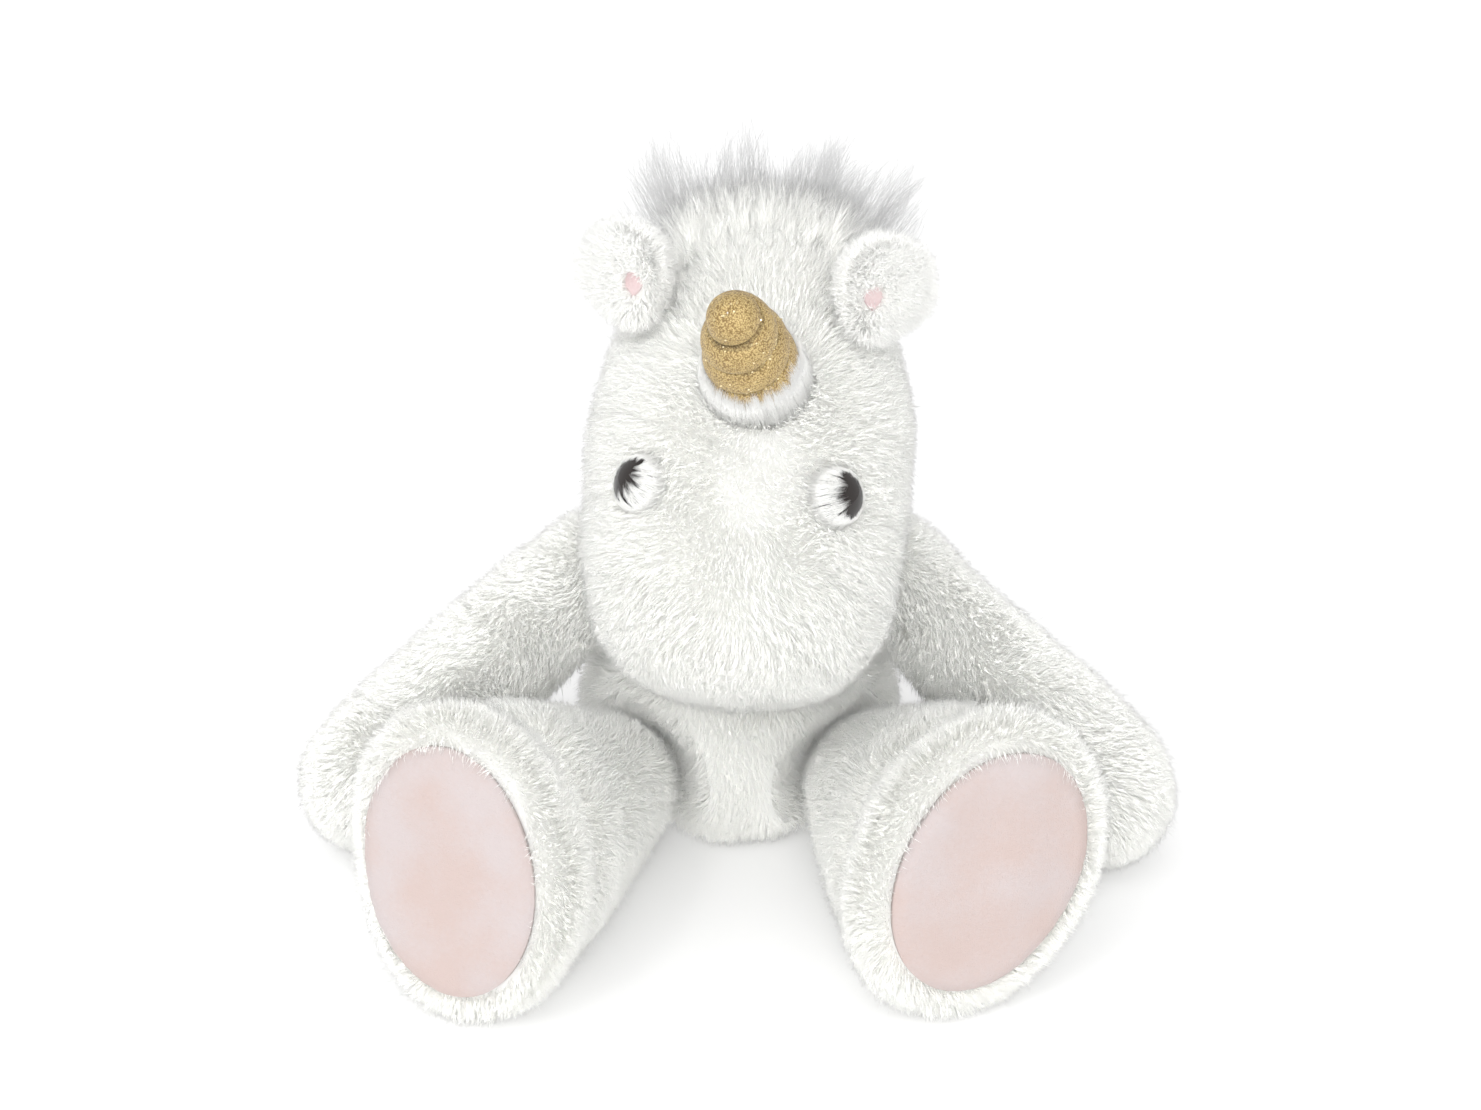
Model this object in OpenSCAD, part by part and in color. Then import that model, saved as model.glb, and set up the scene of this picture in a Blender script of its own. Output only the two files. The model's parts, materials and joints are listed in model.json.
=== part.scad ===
// Plush unicorn, seated, in millimetres. The origin is the centre of the flat seat underside,
// +Z is up and the toy faces -Y, so its own left side is +X.
// Every sewn part is a fur cover around a wad of filling. Each joint is a round root that sits in a
// round pocket of the part it is sewn to, so it can turn without the two parts meeting.

/* [Fabric] */
// Thickness of the fur fabric, backing and pile together
cover_t = 5; // [4:0.5:6]
// Thickness of the short velour on soles and ears
velour_t = 2; // [1.5:0.5:3]
// Thickness of the gold knit on the horn
knit_t = 1; // [0.8:0.1:1.2]

/* [Torso] */
// Largest radius of the torso
torso_r = 50; // [47:1:52]
// Height of the torso's back
torso_h = 116; // [112:1:120]
// Rounding between the flat seat and the side
seat_round = 18; // [14:1:20]
// Radius of the pellet bag in the seat
seat_bag_r = 30; // [24:1:34]
// Height of the pellet bag in the seat
seat_bag_h = 13; // [10:1:16]

/* [Neck] */
// Sideways place of the neck, off centre as hand filling leaves it
neck_x = 5; // [0:1:5]
// Place of the neck from front to back
neck_y = -9; // [-11:1:-7]
// Height of the neck
neck_z = 106; // [104:1:108]
// Radius of the wad that fills the neck
neck_r = 13; // [11:1:14]
// How far the head can be lifted
nod_range = 25; // [10:1:28]

/* [Head] */
// Radius of the head across its length
head_r = 47; // [44:1:48]
// Half of the head's length from muzzle to crown
head_half = 71; // [66:1:74]
// Fullness of the muzzle's end, 2 is an ellipse
muzzle_full = 3.1; // [2.4:0.1:3.6]
// Fullness of the crown's end
crown_full = 2.3; // [2:0.1:3]
// Lean of the head back from upright
head_lean = 37; // [34:1:40]
// Turn of the face to the toy's right
head_turn = 4; // [0:1:6]
// Sideways tilt of the head
head_tilt = 2; // [0:1:5]

/* [Eyes] */
// Radius of an eye's dome
eye_r = 7.5; // [6:0.5:8]
// Height of an eye's dome
eye_h = 6; // [5:0.5:7]
// Angle of each eye round the head from the middle of the face
eye_angle = 38; // [34:1:42]
// Height of the eyes along the head, from its middle
eye_up = -15; // [-18:1:-12]
// Radius of an eye's shaft
eye_shaft_r = 2.5; // [2:0.25:3]
// Length of an eye's shaft
eye_shaft = 14; // [12:1:16]
// Depth of the dome's base in the pile, which leaves the backing between it and the washer
eye_sink = 3.5; // [2.5:0.25:4]
// Radius of the locking washer
washer_r = 8; // [7:0.5:9]
// Thickness of the locking washer
washer_t = 1.6; // [1.2:0.1:2]

/* [Horn] */
// Radius of the horn's base
horn_r = 12.5; // [11:0.5:13]
// Length of the horn from its seam to its tip
horn_len = 42; // [38:1:46]
// Height of the horn along the head, from its middle
horn_up = 17; // [14:1:20]
// Lean of the horn back from the face's own direction
horn_lean = 9; // [6:1:12]

/* [Ears] */
// Radius of an ear's round flap
ear_r = 13; // [12:0.5:15]
// Thickness of an ear
ear_t = 8; // [7:0.5:9]
// Distance from an ear's seam to the middle of its flap
ear_reach = 14; // [12:1:18]
// Radius of an ear's root
ear_root_r = 6; // [5:0.5:6]

/* [Mane and tail] */
// Radius of the mane's fan
mane_r = 46; // [40:1:48]
// Thickness of the mane from front to back
mane_t = 30; // [24:1:34]
// Width of the mane between the ears
mane_w = 56; // [40:1:58]
// Length of the tail
tail_len = 58; // [45:1:65]
// Radius of the tail where it is fullest
tail_r = 13; // [11:1:15]
// Radius of the tail's root
tail_root_r = 7; // [6:0.5:8]

/* [Arms] */
// Length from the shoulder's centre to the hand's
arm_len = 95; // [90:1:98]
// Radius of the arm's root
arm_root_r = 18; // [16:1:19]
// Radius of the hand
hand_r = 22; // [21:1:23]
// Angle of both arms below level
arm_drop = 35; // [32:0.5:35]
// Angle of the toy's left arm forward of its side
left_arm_forward = 34; // [25:1:40]
// Angle of the toy's right arm forward of its side
right_arm_forward = 28; // [25:1:40]

/* [Legs] */
// Length of the toy's left leg as it sits, from the hip's centre to the sole
left_leg_len = 90; // [88:1:100]
// Length of the toy's right leg as it sits
right_leg_len = 98; // [88:1:100]
// Radius of the thigh
thigh_r = 23; // [21:0.5:24]
// Half width of the foot
foot_w = 35.5; // [33:0.5:38]
// Half height of the foot
foot_h = 46; // [44:0.5:48]
// Half width of the sole pad
pad_w = 26.5; // [24:0.5:28]
// Half height of the sole pad
pad_h = 36; // [34:0.5:38]
// Outward angle of the toy's left leg
left_leg_splay = 19; // [18:1:26]
// Outward angle of the toy's right leg
right_leg_splay = 25; // [20:1:28]
// Outward roll of the toy's left foot
left_foot_roll = 34; // [10:1:38]
// Outward roll of the toy's right foot
right_foot_roll = 14; // [10:1:38]

/* [Hidden] */
$fn = 96;
hull_fn = 32;        // facets of the rounds inside a hull
left = 1;
right = -1;
clear = 0.5;         // between a root and its pocket
fit = 0.2;           // between pieces of one sewn part
far = 300;           // larger than the toy

fur = "#f4f4f0";
filling = "#fbfbf7";
velour = "#e8d5d0";
pellets = "#b9c2c9";

neck = [neck_x, neck_y, neck_z];
shoulder_x = 44;
shoulder_z = 77;
shoulder_dish_r = 34;
hip_x = 42;
hip_y = -40;
hip_z = 23.5;
hip_relief = 7;      // how far the hip's pocket opens out in front
torso_side = 28;     // height at which the torso begins to narrow
muzzle_up = -8;      // place along the head where it is widest
horn_x = 2.5;        // sideways place of the horn
horn_yaw = 6;        // lean of the horn to the toy's right
horn_tip_r = 7;
lobes = 4;
lobe_h = horn_len / lobes;
crease = 1.6;        // depth of the creases between the lobes
ear_x = 31.5;        // place of an ear's seam on the head
ear_y = -30;
ear_up = 36;
ear_lean = 30;       // lean of the ears forward of the crown
ear_spread = 26;     // lean of the ears outward
ear_turn = 25;       // turn of their linings outward
ear_hem = 4;         // fur left round an ear's lining
ear_sway = 4;        // how far the flap's lower edge sways either way
mane_down = 30;      // middle of the mane's fan, below the crown
tail_z = 22.5;
tail_droop = 12;     // angle of the tail below level
label_at = [18, torso_r - 4.5, 30];
label_size = [12, 1, 10];
label_turn = 70;
label_tape_t = 0.4;

function arm_azimuth(side) = side == left ? -left_arm_forward : 180 + right_arm_forward;
function leg_azimuth(side) = side == left ? left_leg_splay - 90 : -90 - right_leg_splay;
function foot_roll(side) = side == left ? -left_foot_roll : right_foot_roll;
// Half height of the foot once it is rolled, which is the height of its middle above the floor
function foot_centre_z(side) =
    norm([foot_h * cos(foot_roll(side)), foot_w * sin(foot_roll(side))]) + 0.5;
function leg_len(side) = side == left ? left_leg_len : right_leg_len;
function leg_rise(side) = asin((foot_centre_z(side) - hip_z) / leg_len(side));
function arc(c, r, from, to, n) =
    [for (i = [0 : n]) let (a = from + (to - from) * i / n) c + r * [cos(a), sin(a)]];
// Outline of the head along Z, from the end of the muzzle to the top of the crown
function head_outline(inset) =
    [for (i = [-11 : 11]) let (a = 90 * i / 11, full = i < 0 ? muzzle_full : crown_full)
        [(head_r - inset) * pow(abs(cos(a)), 2 / full),
            muzzle_up + (i < 0 ? -head_half - muzzle_up + inset : head_half - muzzle_up - inset)
            * pow(abs(sin(a)), 2 / full)]];

// ---- Places -------------------------------------------------------------------------------------

// The head's own frame: origin at its middle, +Z to the crown and -Y out of the face.
module in_head() {
    translate(neck) rotate([0, 0, -head_turn]) rotate([-head_lean, 0, 0])
        rotate([0, head_tilt, 0]) translate([0, -head_r, 0]) children();
}
// The part of the neck's frame that doesn't tilt, for the torso's faces under the head.
module in_neck() {
    translate(neck) rotate([0, 0, -head_turn]) rotate([-head_lean, 0, 0]) children();
}
module in_arm(side) {
    translate([side * shoulder_x, 0, shoulder_z])
        rotate([0, 90 + arm_drop, arm_azimuth(side)]) children();
}
module at_hip(side) {
    translate([side * hip_x, hip_y, hip_z]) children();
}
// The leg's frame: origin at the hip, +Z along the leg and X across the foot's height.
module in_leg(side) {
    at_hip(side) rotate([0, 90 - leg_rise(side), leg_azimuth(side)])
        rotate([0, 0, foot_roll(side)]) children();
}
// The eye's frame: origin on the head's surface, +Z outward.
module at_eye(side) {
    in_head() rotate([0, 0, side * eye_angle]) translate([0, -head_r, eye_up])
        rotate([90, 0, 0]) children();
}
module in_horn() {
    in_head() translate([horn_x, 2 - head_r, horn_up])
        rotate([90 - horn_lean, 0, -horn_yaw]) children();
}
// The ear's frame: origin at its seam, +Z to its tip and -Y out of its lining.
module in_ear(side) {
    in_head() translate([side * ear_x, ear_y, ear_up]) rotate([ear_lean, 0, 0])
        rotate([0, side * ear_spread, side * ear_turn]) children();
}
module in_tail() {
    translate([0, torso_r - 1, tail_z]) rotate([-90 - tail_droop, 0, 0]) children();
}
module in_label() {
    translate(label_at) rotate([0, 0, label_turn]) children();
}

// ---- Torso --------------------------------------------------------------------------------------

module torso_body(inset) {
    corner = [torso_r - seat_round, seat_round];
    rise = torso_h - torso_side;
    upper = [for (i = [0 : 10]) let (u = sin(9 * i))
        [(torso_r - inset) * pow(1 - u * u, 0.65), torso_side + (rise - inset) * u]];
    rotate_extrude()
        polygon(concat([[0, inset]], arc(corner, seat_round - inset, -90, 0, 4), upper));
}
// Two flat faces that meet at the neck: the chin lies on the front one, and the back of the head
// comes down to the upper one when the head is lifted.
module under_head(inset) {
    in_neck() translate([-far / 2, clear + inset - far, -far / 2]) cube(far);
    in_neck() rotate([-nod_range - 2, 0, 0])
        translate([-far / 2, clear + inset - far, 0]) cube(far);
}
module torso_pockets(inset) {
    translate(neck) sphere(neck_r + clear + inset);
    for (side = [left, right]) {
        hip_pocket(side, inset);
        shoulder_pocket(side, inset);
    }
    in_tail() sphere(tail_root_r + clear + inset);
}
// A shallow dish, wider than the arm's root, that leaves room for the arm as it is raised.
module shoulder_pocket(side, inset) {
    depth = arm_root_r + clear + 0.5;
    translate([side * (shoulder_x - depth + shoulder_dish_r), 0, shoulder_z])
        sphere(shoulder_dish_r + inset);
}
// The thigh's pocket, wider in front so that the leg can swing in towards the belly.
module hip_pocket(side, inset) {
    at_hip(side) {
        sphere(thigh_r + clear + inset);
        translate([0, -hip_relief, 0]) sphere(thigh_r + clear + 0.6 * hip_relief + inset);
    }
}
module torso_solid(inset) {
    difference() {
        torso_body(inset);
        under_head(inset);
        torso_pockets(inset);
    }
}
module torso_cover() {
    color(fur) difference() {
        torso_solid(0);
        torso_solid(cover_t);
        label_block(fit);
    }
}
module seat_bag(grow) {
    translate([0, 6, cover_t + 1 - grow])
        cylinder(h = seat_bag_h + 2 * grow, r = seat_bag_r + grow);
}
module torso_stuffing() {
    color(filling) difference() {
        torso_solid(cover_t + fit);
        seat_bag(fit);
    }
}
module seat_pellet_bag() {
    color(pellets) difference() {
        seat_bag(0);
        for (side = [left, right]) hip_pocket(side, cover_t + fit);
    }
}
module label_block(grow) {
    in_label() translate(-grow * [1, 1, 1]) cube(label_size + 2 * grow * [1, 1, 1]);
}
// A blank satin loop in the back seam, open at its top and bottom.
module sewn_label() {
    color("white") difference() {
        label_block(0);
        in_label() translate(label_tape_t * [1, 1, -1])
            cube(label_size - 2 * label_tape_t * [1, 1, -1]);
    }
}
module tail() {
    root_top = tail_root_r - 1;
    swell = tail_len - tail_r - root_top;
    outline = concat(arc([0, 0], tail_root_r, -90, 40, 8),
        [for (i = [1 : 12]) let (u = i / 12)
            [tail_root_r + (tail_r - tail_root_r) * sin(90 * u), root_top + swell * u]],
        arc([0, tail_len - tail_r], tail_r, 5, 90, 8));
    color(fur) in_tail() rotate_extrude() polygon(outline);
}

// ---- Head ---------------------------------------------------------------------------------------

module neck_stuffing() {
    color(filling) translate(neck) sphere(neck_r);
}
module head_solid(inset) {
    difference() {
        in_head() rotate_extrude()
            polygon(head_outline(inset));
        translate(neck) sphere(neck_r + clear + inset);
        in_horn() sphere(horn_r + clear + inset);
    }
}
module head_cover() {
    color(fur) difference() {
        head_solid(0);
        head_solid(cover_t);
        for (side = [left, right]) ear_room(side);
        for (side = [left, right]) at_eye(side) {
            translate([0, 0, -eye_sink - fit]) cylinder(h = far, r = eye_r + fit);
            translate([0, 0, -eye_shaft]) cylinder(h = eye_shaft, r = eye_shaft_r + fit);
        }
    }
}
module head_stuffing() {
    color(filling) difference() {
        head_solid(cover_t + fit);
        for (side = [left, right]) at_eye(side) translate([0, 0, -eye_sink - eye_shaft - fit])
            cylinder(h = eye_sink + eye_shaft + fit, r = washer_r + fit);
    }
}
// A glossy dome with the shaft that goes through the cover.
module eye(side) {
    rim = 1;
    color("#111111") at_eye(side) translate([0, 0, -eye_sink]) {
        rotate_extrude()
            polygon(concat([[0, 0]], [for (i = [0 : 12]) let (a = 90 * i / 12)
                [eye_r * cos(a), rim + (eye_h - rim) * sin(a)]]));
        translate([0, 0, -eye_shaft]) cylinder(h = eye_shaft + rim, r = eye_shaft_r);
    }
}
module left_eye() eye(left);
module right_eye() eye(right);
// The washer lies flat under the curved backing, so it starts a little below its highest point.
module eye_washer(side) {
    under = cover_t + 1;
    color("#e9e9e9") at_eye(side) translate([0, 0, -under - washer_t])
        difference() {
            cylinder(h = washer_t, r = washer_r);
            translate([0, 0, -washer_t]) cylinder(h = 3 * washer_t, r = eye_shaft_r + 0.05);
        }
}
module left_eye_washer() eye_washer(left);
module right_eye_washer() eye_washer(right);
// Long hair that stands in a fan between the ears.
module mane() {
    color("#eeeeee") difference() {
        in_head() translate([0, 0, head_half - mane_down]) rotate([90, 0, 0]) intersection() {
            cylinder(h = mane_t, r = mane_r, center = true);
            translate([0, far / 2, 0]) cube([mane_w, far, far], center = true);
        }
        in_head() rotate_extrude()
            polygon(head_outline(-fit));
    }
}

// ---- Horn ---------------------------------------------------------------------------------------

function horn_radius(u) = horn_r + (horn_tip_r - horn_r) * u;
// Rounded lobes that get smaller towards the tip, with a crease between each two.
module horn_body(inset) {
    root = arc([0, 0], horn_r - inset, -90, 0, 8);
    stack = [for (k = [0 : lobes - 2], i = [0 : 8]) let (u = i / 8, z = (k + u) * lobe_h)
        [horn_radius(z / horn_len) - inset - crease * pow(2 * u - 1, 2), z]];
    tip = arc([0, horn_len - horn_tip_r - 1], horn_tip_r + 1 - inset, 20, 90, 8);
    in_horn() rotate_extrude()
        polygon(concat(root, [for (p = stack) if (p[1] > 1) p], tip));
}
module horn_cover() {
    color("#c8a55f") difference() {
        horn_body(0);
        horn_body(knit_t);
    }
}
module horn_stuffing() {
    color(filling) horn_body(knit_t + fit);
}
// The thread turns that pull the creases in.
module horn_thread() {
    thread_r = 0.45;
    above = crease - thread_r - fit;
    color("#a98743") in_horn() for (k = [1 : lobes - 1])
        translate([0, 0, k * lobe_h]) rotate_extrude()
            translate([horn_radius(k / lobes) - above, 0]) circle(r = thread_r, $fn = 16);
}

// ---- Ears ---------------------------------------------------------------------------------------

module ear_flap(r, t) {
    translate([0, t / 2, ear_reach]) rotate([90, 0, 0]) cylinder(h = t, r = r);
}
// The root's pocket, and a shallow cut beside it for the flap's lower edge as the ear flops.
module ear_room(side) {
    in_ear(side) {
        sphere(ear_root_r + clear);
        ear_flap(ear_r + ear_sway / 2, ear_t + 2 * ear_sway);
    }
}
module ear_cover(side) {
    color(fur) in_ear(side) difference() {
        union() {
            sphere(ear_root_r);
            ear_flap(ear_r, ear_t);
        }
        translate([0, -ear_t / 2, 0]) ear_flap(ear_r - ear_hem, 2 * velour_t);
    }
}
module ear_lining(side) {
    back = (velour_t - fit - ear_t) / 2;
    color(velour) in_ear(side) translate([0, back, 0])
        ear_flap(ear_r - ear_hem - fit, velour_t - fit);
}
module left_ear_cover() ear_cover(left);
module right_ear_cover() ear_cover(right);
module left_ear_lining() ear_lining(left);
module right_ear_lining() ear_lining(right);

// ---- Arms ---------------------------------------------------------------------------------------

// A round root, a straight taper and a round hand.
module arm_solid(side, inset) {
    taper = asin((hand_r - arm_root_r) / arm_len);
    in_arm(side) rotate_extrude()
        polygon(concat(arc([0, 0], arm_root_r - inset, -90, -taper, 6),
            arc([0, arm_len], hand_r - inset, -taper, 90, 8)));
}
module arm_cover(side) {
    color(fur) difference() {
        arm_solid(side, 0);
        arm_solid(side, cover_t);
    }
}
module arm_stuffing(side) {
    color(filling) arm_solid(side, cover_t + fit);
}
module left_arm_cover() arm_cover(left);
module right_arm_cover() arm_cover(right);
module left_arm_stuffing() arm_stuffing(left);
module right_arm_stuffing() arm_stuffing(right);

// ---- Legs ---------------------------------------------------------------------------------------

// An oval slice of the foot, back from the sole by back.
module foot_slice(side, back, thick, inset) {
    translate([0, 0, leg_len(side) - back - thick]) scale([foot_h - inset, foot_w - inset, 1])
        cylinder(h = thick, r = 1, $fn = hull_fn);
}
module leg_solid(side, inset) {
    in_leg(side) hull() {
        sphere(thigh_r - inset, $fn = hull_fn);
        foot_slice(side, 9 + inset / 2, 14, inset);
        foot_slice(side, 3 + inset / 2, 1, inset + 3);
        foot_slice(side, inset, 1, inset + 8);
    }
}
module sole_pocket(side, grow) {
    in_leg(side) translate([0, 0, leg_len(side) - velour_t - grow])
        scale([pad_h + grow, pad_w + grow, 1]) cylinder(h = velour_t + grow + 5 * sign(grow), r = 1);
}
module foot_bag(side, grow) {
    in_leg(side) translate([0, 0, leg_len(side) - cover_t - 16 - grow])
        cylinder(h = 14 + 2 * grow, r = 24 + grow);
}
// The cover lies flat where the foot rests on the floor.
module leg_cover(side) {
    color(fur) difference() {
        leg_solid(side, 0);
        leg_solid(side, cover_t);
        sole_pocket(side, fit);
        translate([-far / 2, -far / 2, -far]) cube(far);
    }
}
module leg_stuffing(side) {
    color(filling) difference() {
        leg_solid(side, cover_t + fit);
        foot_bag(side, fit);
    }
}
module foot_pellet_bag(side) {
    color(pellets) foot_bag(side, 0);
}
module sole_pad(side) {
    color(velour) sole_pocket(side, 0);
}
module left_leg_cover() leg_cover(left);
module right_leg_cover() leg_cover(right);
module left_leg_stuffing() leg_stuffing(left);
module right_leg_stuffing() leg_stuffing(right);
module left_foot_pellet_bag() foot_pellet_bag(left);
module right_foot_pellet_bag() foot_pellet_bag(right);
module left_sole_pad() sole_pad(left);
module right_sole_pad() sole_pad(right);

torso_cover();
torso_stuffing();
seat_pellet_bag();
sewn_label();
tail();
neck_stuffing();
head_cover();
head_stuffing();
mane();
left_eye();
right_eye();
left_eye_washer();
right_eye_washer();
horn_cover();
horn_stuffing();
horn_thread();
left_ear_cover();
left_ear_lining();
right_ear_cover();
right_ear_lining();
left_arm_cover();
left_arm_stuffing();
right_arm_cover();
right_arm_stuffing();
left_leg_cover();
left_leg_stuffing();
left_foot_pellet_bag();
left_sole_pad();
right_leg_cover();
right_leg_stuffing();
right_foot_pellet_bag();
right_sole_pad();
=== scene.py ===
"""Looks of the seated plush unicorn: stuffed skins, fur, hair, horn, eyes, ears and soles."""

import json
import math

import bmesh
import bpy
import numpy as np
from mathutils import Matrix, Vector


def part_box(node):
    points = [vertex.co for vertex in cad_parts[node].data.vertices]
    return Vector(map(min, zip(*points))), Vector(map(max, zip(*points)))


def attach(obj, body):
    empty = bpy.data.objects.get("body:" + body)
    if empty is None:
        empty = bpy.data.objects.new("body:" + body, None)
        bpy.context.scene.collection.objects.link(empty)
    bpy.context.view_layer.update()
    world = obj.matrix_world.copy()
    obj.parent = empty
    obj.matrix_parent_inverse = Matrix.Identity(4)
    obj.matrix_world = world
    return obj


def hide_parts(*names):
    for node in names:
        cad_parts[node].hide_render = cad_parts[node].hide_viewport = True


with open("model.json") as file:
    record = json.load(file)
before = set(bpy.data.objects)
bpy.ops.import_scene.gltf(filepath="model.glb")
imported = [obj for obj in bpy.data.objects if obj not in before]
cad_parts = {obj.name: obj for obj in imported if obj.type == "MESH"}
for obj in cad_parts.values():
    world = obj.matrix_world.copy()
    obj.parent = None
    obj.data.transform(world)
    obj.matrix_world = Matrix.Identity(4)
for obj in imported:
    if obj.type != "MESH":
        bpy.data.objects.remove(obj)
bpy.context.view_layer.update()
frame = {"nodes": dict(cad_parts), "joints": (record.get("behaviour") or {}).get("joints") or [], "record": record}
nodes = frame["nodes"]
joints = {j["name"]: j for j in frame["joints"]}
scene = bpy.context.scene

MM = 0.001
TURN = 2 * math.pi
SIDES = ("left", "right")
SIGN = {"left": 1, "right": -1}
MAX_STRANDS = 18500       # in one piece
FLOOR_GAP = 0.3 * MM      # fur that meets the floor lies flat this far above it
WELD = 0.01 * MM          # points closer than this are one
SEAM = 3 * MM             # half the width of a skin's held seam
FINE, THICK = 0.13 * MM, 0.15 * MM      # root radius of the head's strands, and of the body's


# ---- Measuring the frame ----

def unit(v):
    v = np.asarray(v, float)
    return v / np.maximum(np.linalg.norm(v, axis=-1, keepdims=True), 1e-12)


def points_of(obj, what="co"):
    """Where an object's vertices are."""
    values = np.empty(len(obj.data.vertices) * 3)
    obj.data.vertices.foreach_get(what, values)
    return values.reshape(-1, 3)


def normals_of(obj):
    return points_of(obj, "normal")


def wrapped(angle):
    """The same angle between -pi and pi."""
    return (angle + math.pi) % TURN - math.pi


def middle(node):
    low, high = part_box(node)
    return np.array((low + high) / 2)


def faces_of(obj):
    """The middle, normal and area of every face."""
    n = len(obj.data.polygons)
    middles, normals, areas = np.empty(n * 3), np.empty(n * 3), np.empty(n)
    obj.data.polygons.foreach_get("center", middles)
    obj.data.polygons.foreach_get("normal", normals)
    obj.data.polygons.foreach_get("area", areas)
    return middles.reshape(-1, 3), normals.reshape(-1, 3), areas


def balance(node):
    """The middle of a node's surface, which lies on its axis if it is round."""
    middles, _, areas = faces_of(nodes[node])
    return (middles * areas[:, None]).sum(0) / areas.sum()


def flat_axis(node, towards):
    """The direction that most of a flat node's surface faces, on the side of towards."""
    _, normals, areas = faces_of(nodes[node])
    axis = np.linalg.eigh((normals * areas[:, None]).T @ normals)[1][:, -1]
    return axis * np.sign(axis @ towards)


def place_of(joint):
    return np.array(joints[joint]["pos_m"], float)


class Axes:
    """An origin and three directions, as rows."""

    def __init__(self, origin, x, y, z):
        self.origin = np.asarray(origin, float)
        self.rows = np.array([x, y, z], float)

    def local(self, points):
        return (np.asarray(points) - self.origin) @ self.rows.T

    def world(self, points):
        return np.asarray(points) @ self.rows + self.origin

    def turn(self, directions):
        """Directions in these axes, as directions in the part's frame."""
        return np.asarray(directions) @ self.rows


def axes_along(origin, z, x_hint):
    """Axes with Z along z and X as near as can be to x_hint."""
    z = unit(z)
    x = unit(np.asarray(x_hint) - z * np.dot(x_hint, z))
    return Axes(origin, x, np.cross(z, x), z)


neck = place_of("neck_nod")
head_x = unit(middle("left_eye_washer") - middle("right_eye_washer"))
face_way = np.array(joints["neck_twist"]["axis"], float)
face_way = unit(face_way - head_x * (face_way @ head_x))
head_r = np.ptp(points_of(nodes["head_cover"]) @ head_x) / 2
HEAD = Axes(neck + face_way * head_r, head_x, -face_way, np.cross(head_x, -face_way))

horn_seat = place_of("horn_bend")
HORN = axes_along(horn_seat, balance("horn_cover") - horn_seat, head_x)

EYE, EAR, ARM, LEG = {}, {}, {}, {}
for side in SIDES:
    washer = middle(f"{side}_eye_washer")
    out = flat_axis(f"{side}_eye_washer", washer - HEAD.world([0, 0, 0]))
    EYE[side] = axes_along(washer, out, HEAD.rows[2])
    root = place_of(f"{side}_ear_flop")
    lining = middle(f"{side}_ear_lining")
    front = flat_axis(f"{side}_ear_lining", face_way)
    reach = unit(lining - root - front * ((lining - root) @ front))
    EAR[side] = Axes(root, np.cross(-front, reach), -front, reach)
    shoulder = place_of(f"{side}_arm_raise")
    ARM[side] = axes_along(shoulder, balance(f"{side}_arm_cover") - shoulder, [0, 0, 1])
    hip = place_of(f"{side}_leg_swing")
    pad = middle(f"{side}_sole_pad")
    sole = flat_axis(f"{side}_sole_pad", pad - hip)
    spread = points_of(nodes[f"{side}_sole_pad"]) - pad
    long_way = np.linalg.eigh(spread.T @ spread)[1][:, -1]
    LEG[side] = axes_along(pad, sole, long_way * np.sign(long_way[2]))
tail_root = place_of("tail_lift")
TAIL = axes_along(tail_root, balance("tail") - tail_root, [1, 0, 0])


# ---- Materials ----

def material(name, color, roughness, **sockets):
    """A principled material; the keyword arguments are its other sockets, with _ for spaces."""
    mat = bpy.data.materials.new(name)
    mat.use_nodes = True
    shader = mat.node_tree.nodes["Principled BSDF"]
    shader.inputs["Base Color"].default_value = (*color, 1)
    shader.inputs["Roughness"].default_value = roughness
    for key, value in sockets.items():
        shader.inputs[key.replace("_", " ")].default_value = value
    return mat


class Maker:
    """Short calls that add and join a material's nodes."""

    def __init__(self, mat):
        self.tree = mat.node_tree
        self.shader = self.tree.nodes["Principled BSDF"]
        self.place = self.add("ShaderNodeTexCoord").outputs["Object"]

    def add(self, kind, **values):
        node = self.tree.nodes.new(kind)
        for key, value in values.items():
            if hasattr(node, key):
                setattr(node, key, value)
            else:
                node.inputs[key.replace("_", " ")].default_value = value
        return node

    def join(self, a, b):
        self.tree.links.new(a, b)

    def noise(self, size, detail=3.0):
        """A noise whose features are about size metres across."""
        node = self.add("ShaderNodeTexNoise", Scale=1 / size, Detail=detail)
        self.join(self.place, node.inputs["Vector"])
        return node.outputs["Fac"]

    def cells(self, size):
        """Distance from the middles of cells about size metres across."""
        node = self.add("ShaderNodeTexVoronoi", Scale=1 / size)
        self.join(self.place, node.inputs["Vector"])
        return node.outputs["Distance"]

    def ramp(self, value, stops):
        """A colour ramp with (place, colour) stops."""
        node = self.add("ShaderNodeValToRGB")
        marks = node.color_ramp.elements
        while len(marks) < len(stops):
            marks.new(0.5)
        for mark, (at, color) in zip(marks, stops):
            mark.position = at
            mark.color = (*color, 1)
        self.join(value, node.inputs["Fac"])
        return node.outputs["Color"]

    def between(self, value, low, high):
        node = self.add("ShaderNodeMapRange", To_Min=low, To_Max=high)
        self.join(value, node.inputs["Value"])
        return node.outputs["Result"]

    def sum(self, a, b, weight=1.0):
        """a + b times weight."""
        node = self.add("ShaderNodeMath", operation="MULTIPLY_ADD")
        self.join(b, node.inputs[0])
        node.inputs[1].default_value = weight
        self.join(a, node.inputs[2])
        return node.outputs[0]

    def bump(self, height, depth, strength=1.0):
        """A bump of this depth; a negative strength turns it inward."""
        node = self.add("ShaderNodeBump", Strength=abs(strength), Distance=depth)
        node.invert = strength < 0
        self.join(height, node.inputs["Height"])
        self.join(node.outputs["Normal"], self.shader.inputs["Normal"])

    def color(self, output):
        self.join(output, self.shader.inputs["Base Color"])

    def roughness(self, output):
        self.join(output, self.shader.inputs["Roughness"])


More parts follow.
